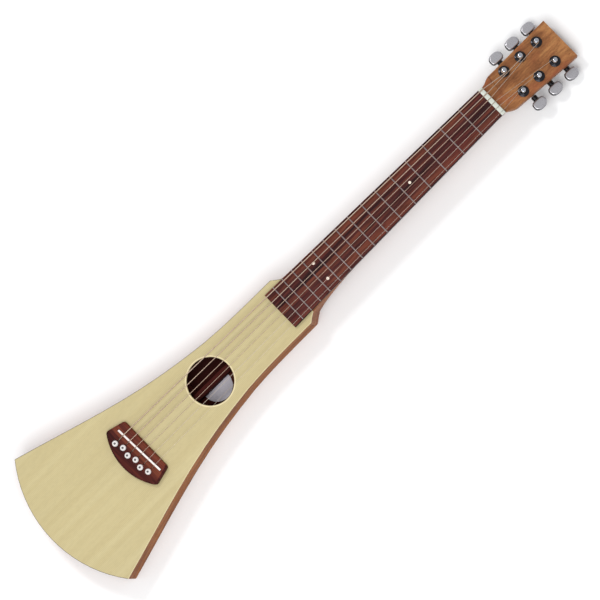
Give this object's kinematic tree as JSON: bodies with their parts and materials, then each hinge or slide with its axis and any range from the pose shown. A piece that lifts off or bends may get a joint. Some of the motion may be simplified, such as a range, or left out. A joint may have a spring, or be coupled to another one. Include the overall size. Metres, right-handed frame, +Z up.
{
  "type": "travel guitar",
  "caption": "Slim travel guitar: flared wooden sound box, neck that runs on through it as a bar, frets, pinned bridge, steel strings and worm-geared machine heads whose keys turn.",
  "frame": {"origin": "on the ground plane that the back rests on, below the middle of the bounding box", "axes": "+Y along the neck towards the headstock, +X towards the thinnest string, +Z up out of the soundboard"},
  "size_m": [0.2074, 0.8898, 0.0636],
  "materials": {
    "soundboard_spruce": "pale satin spruce with faint straight grain along the body",
    "body_wood": "satin reddish brown mahogany",
    "neck_wood": "satin reddish brown mahogany, a little lighter than the sides",
    "dark_wood": "dark oiled rosewood",
    "plate_wood": "bare maple",
    "white_bone": "polished white synthetic bone",
    "fret_wire": "polished nickel silver",
    "plain_wire": "bright drawn steel wire",
    "wound_wire": "bronze winding over steel",
    "pin_plastic": "white moulded plastic",
    "tuner_chrome": "bright chrome plating",
    "tuner_satin_chrome": "satin chrome plating"
  },
  "bodies": {
    "guitar": {"soundboard": "soundboard_spruce", "back": "body_wood", "sides": "body_wood", "neck": "neck_wood", "fingerboard": "dark_wood", "bridge": "dark_wood", "bridge_plate": "plate_wood", "nut": "white_bone", "saddle": "white_bone", "fret_01": "fret_wire", "fret_02": "fret_wire", "fret_03": "fret_wire", "fret_04": "fret_wire", "fret_05": "fret_wire", "fret_06": "fret_wire", "fret_07": "fret_wire", "fret_08": "fret_wire", "fret_09": "fret_wire", "fret_10": "fret_wire", "fret_11": "fret_wire", "fret_12": "fret_wire", "fret_13": "fret_wire", "fret_14": "fret_wire", "fret_15": "fret_wire", "string_1": "plain_wire", "bridge_pin_1": "pin_plastic", "tuner_1_housing": "tuner_satin_chrome", "tuner_1_bushing": "tuner_chrome", "string_2": "plain_wire", "bridge_pin_2": "pin_plastic", "tuner_2_housing": "tuner_satin_chrome", "tuner_2_bushing": "tuner_chrome", "string_3": "wound_wire", "bridge_pin_3": "pin_plastic", "tuner_3_housing": "tuner_satin_chrome", "tuner_3_bushing": "tuner_chrome", "string_4": "wound_wire", "bridge_pin_4": "pin_plastic", "tuner_4_housing": "tuner_satin_chrome", "tuner_4_bushing": "tuner_chrome", "string_5": "wound_wire", "bridge_pin_5": "pin_plastic", "tuner_5_housing": "tuner_satin_chrome", "tuner_5_bushing": "tuner_chrome", "string_6": "wound_wire", "bridge_pin_6": "pin_plastic", "tuner_6_housing": "tuner_satin_chrome", "tuner_6_bushing": "tuner_chrome"},
    "key_1": {"tuner_1_key": "tuner_satin_chrome"},
    "post_1": {"tuner_1_post": "tuner_chrome"},
    "key_2": {"tuner_2_key": "tuner_satin_chrome"},
    "post_2": {"tuner_2_post": "tuner_chrome"},
    "key_3": {"tuner_3_key": "tuner_satin_chrome"},
    "post_3": {"tuner_3_post": "tuner_chrome"},
    "key_4": {"tuner_4_key": "tuner_satin_chrome"},
    "post_4": {"tuner_4_post": "tuner_chrome"},
    "key_5": {"tuner_5_key": "tuner_satin_chrome"},
    "post_5": {"tuner_5_post": "tuner_chrome"},
    "key_6": {"tuner_6_key": "tuner_satin_chrome"},
    "post_6": {"tuner_6_post": "tuner_chrome"}
  },
  "joints": [
    {"name": "key_turn_1", "type": "hinge", "parent": "guitar", "child": "key_1", "pos_m": [0.0173, 0.36977, 0.02247], "axis": [1, 0, 0], "continuous": true},
    {"name": "key_turn_2", "type": "hinge", "parent": "guitar", "child": "key_2", "pos_m": [0.017, 0.39647, 0.0168], "axis": [1, 0, 0], "continuous": true},
    {"name": "key_turn_3", "type": "hinge", "parent": "guitar", "child": "key_3", "pos_m": [0.0167, 0.42318, 0.01112], "axis": [1, 0, 0], "continuous": true},
    {"name": "key_turn_4", "type": "hinge", "parent": "guitar", "child": "key_4", "pos_m": [-0.0167, 0.42318, 0.01112], "axis": [1, 0, 0], "continuous": true},
    {"name": "key_turn_5", "type": "hinge", "parent": "guitar", "child": "key_5", "pos_m": [-0.017, 0.39647, 0.0168], "axis": [1, 0, 0], "continuous": true},
    {"name": "key_turn_6", "type": "hinge", "parent": "guitar", "child": "key_6", "pos_m": [-0.0173, 0.36977, 0.02247], "axis": [1, 0, 0], "continuous": true},
    {"name": "post_turn_1", "type": "hinge", "parent": "guitar", "child": "post_1", "pos_m": [0.0173, 0.36663, 0.04379], "axis": [0, 0.2079, 0.9781], "continuous": true},
    {"name": "post_turn_2", "type": "hinge", "parent": "guitar", "child": "post_2", "pos_m": [0.017, 0.39334, 0.03812], "axis": [0, 0.2079, 0.9781], "continuous": true},
    {"name": "post_turn_3", "type": "hinge", "parent": "guitar", "child": "post_3", "pos_m": [0.0167, 0.42004, 0.03244], "axis": [0, 0.2079, 0.9781], "continuous": true},
    {"name": "post_turn_4", "type": "hinge", "parent": "guitar", "child": "post_4", "pos_m": [-0.0167, 0.42004, 0.03244], "axis": [0, 0.2079, 0.9781], "continuous": true},
    {"name": "post_turn_5", "type": "hinge", "parent": "guitar", "child": "post_5", "pos_m": [-0.017, 0.39334, 0.03812], "axis": [0, 0.2079, 0.9781], "continuous": true},
    {"name": "post_turn_6", "type": "hinge", "parent": "guitar", "child": "post_6", "pos_m": [-0.0173, 0.36663, 0.04379], "axis": [0, 0.2079, 0.9781], "continuous": true}
  ],
  "couplings": [
    {"joint": "post_turn_1", "follows": "key_turn_1", "ratio": 0.071429},
    {"joint": "post_turn_2", "follows": "key_turn_2", "ratio": 0.071429},
    {"joint": "post_turn_3", "follows": "key_turn_3", "ratio": 0.071429},
    {"joint": "post_turn_4", "follows": "key_turn_4", "ratio": 0.071429},
    {"joint": "post_turn_5", "follows": "key_turn_5", "ratio": 0.071429},
    {"joint": "post_turn_6", "follows": "key_turn_6", "ratio": 0.071429}
  ]
}
